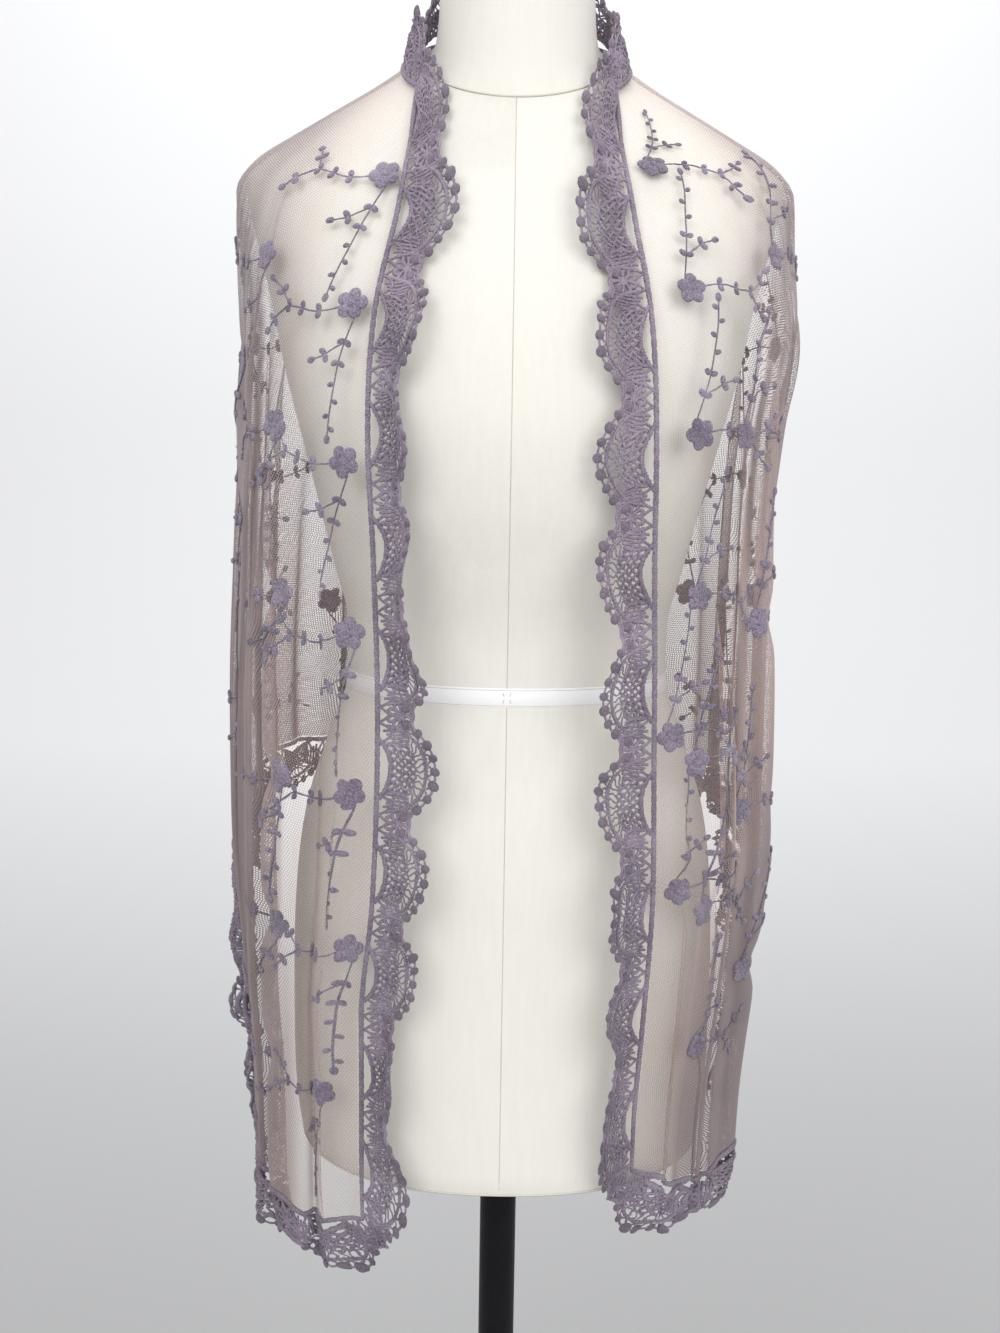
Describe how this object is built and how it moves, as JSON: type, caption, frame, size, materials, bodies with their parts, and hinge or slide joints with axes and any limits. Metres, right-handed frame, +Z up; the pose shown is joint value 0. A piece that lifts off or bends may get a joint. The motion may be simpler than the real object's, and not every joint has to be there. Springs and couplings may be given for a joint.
{
  "type": "lace shawl on dress form",
  "caption": "Long net stole with a scalloped lace border, worn open over a limbless dress form on a round pole stand.",
  "frame": {"origin": "centre of the round base's underside, on the floor", "axes": "+Z up, the form's front faces -Y, +X to the viewer's right"},
  "size_m": [0.4, 0.4, 1.5508],
  "materials": {
    "linen": "off-white linen cover, stretched smooth",
    "black_metal": "black paint, satin",
    "net": "fine dusty mauve net, embroidered with flower sprigs",
    "lace": "knotted dusty mauve lace border with small bobbles"
  },
  "bodies": {
    "root": {"form_body": "linen", "neck_cap": "black_metal", "stand_base": "black_metal", "stand_collar": "black_metal", "stand_pole": "black_metal", "net_left_front": "net", "net_right_front": "net", "net_back": "net", "lace_left_front": "lace", "lace_right_front": "lace", "lace_neck": "lace", "lace_left_end": "lace", "lace_right_end": "lace", "lace_back_hem": "lace"}
  },
  "joints": []
}
